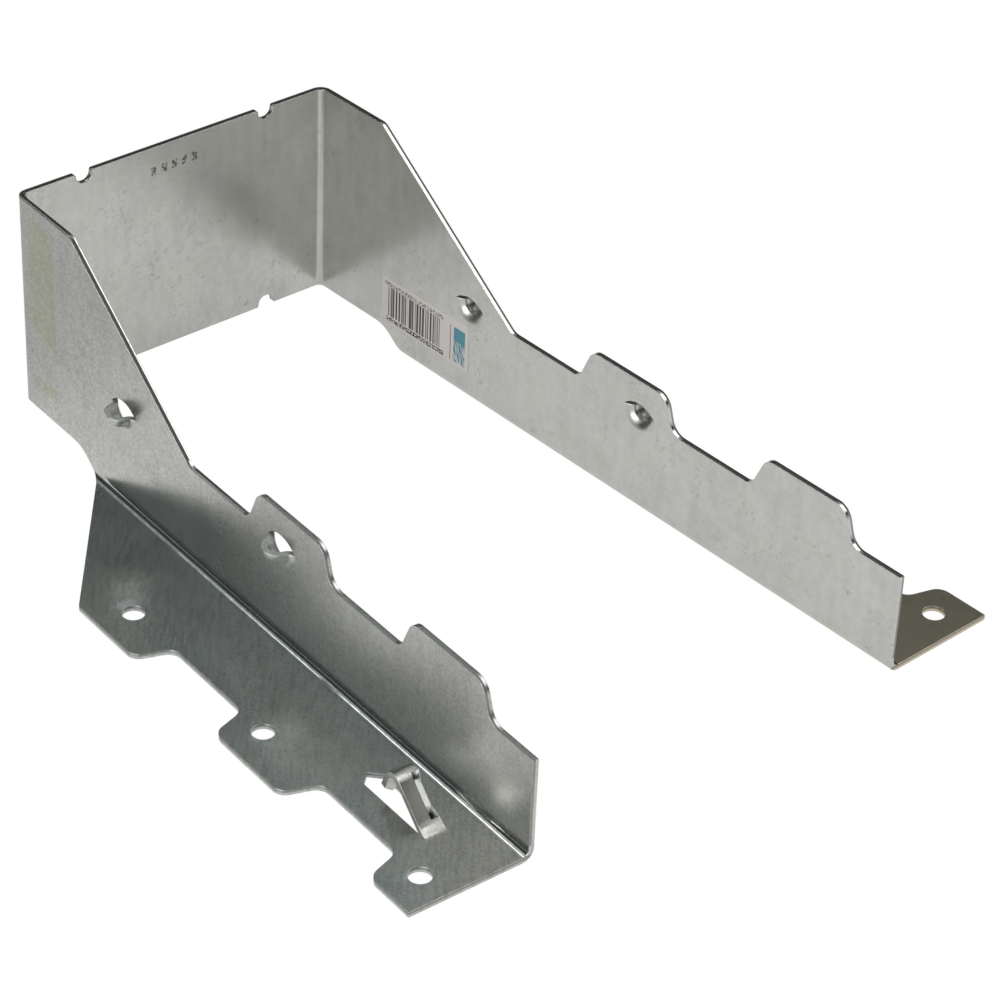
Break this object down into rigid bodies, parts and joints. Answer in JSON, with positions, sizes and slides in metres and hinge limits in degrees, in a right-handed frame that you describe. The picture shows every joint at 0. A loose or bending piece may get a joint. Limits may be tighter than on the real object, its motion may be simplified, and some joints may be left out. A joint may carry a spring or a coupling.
{
  "type": "joist hanger",
  "caption": "Face-mount hanger folded from galvanised sheet, with a seat, splayed sides, nailing flanges, nail holes, guide domes and lanced prongs.",
  "frame": {"origin": "centre of the bounding box's base, on the header plane that both flanges lie on", "axes": "+X from the seat to the open end of the pocket, +Z away from the header along the joist, Y across the joist"},
  "size_m": [0.1778, 0.149, 0.0556],
  "materials": {
    "galvanised_sheet": "galvanised",
    "label_paper": "matt"
  },
  "bodies": {
    "root": {"hanger": "galvanised_sheet", "label": "label_paper"}
  },
  "joints": []
}
